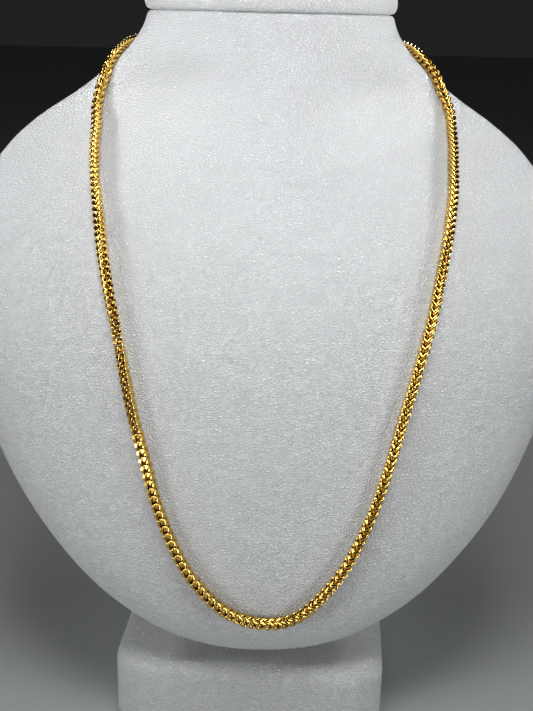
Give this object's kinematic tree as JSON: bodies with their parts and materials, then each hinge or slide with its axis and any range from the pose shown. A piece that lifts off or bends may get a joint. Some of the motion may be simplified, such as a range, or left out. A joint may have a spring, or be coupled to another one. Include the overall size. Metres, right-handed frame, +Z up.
{
  "type": "curb chain on a neck bust",
  "caption": "square-section double curb necklace chain lying round a padded neck bust on a rounded block",
  "frame": {"origin": "centre of the block's underside, on the surface that it stands on", "axes": "+Z up, the chest faces -Y, +X to the right of a viewer who faces the chest"},
  "size_m": [0.196, 0.1397, 0.232],
  "materials": {
    "bust_leatherette": "white leatherette with a fine pebbled grain",
    "cap_leatherette": "white leatherette with a fine pebbled grain",
    "stem_leatherette": "white leatherette with a fine pebbled grain",
    "base_leatherette": "white leatherette with a fine pebbled grain",
    "chain_gold": "polished yellow gold",
    "clasp_gold": "polished yellow gold"
  },
  "bodies": {
    "root": {"bust": "bust_leatherette", "neck_cap": "cap_leatherette", "stem": "stem_leatherette", "base": "base_leatherette", "chain": "chain_gold", "clasp": "clasp_gold"}
  },
  "joints": []
}
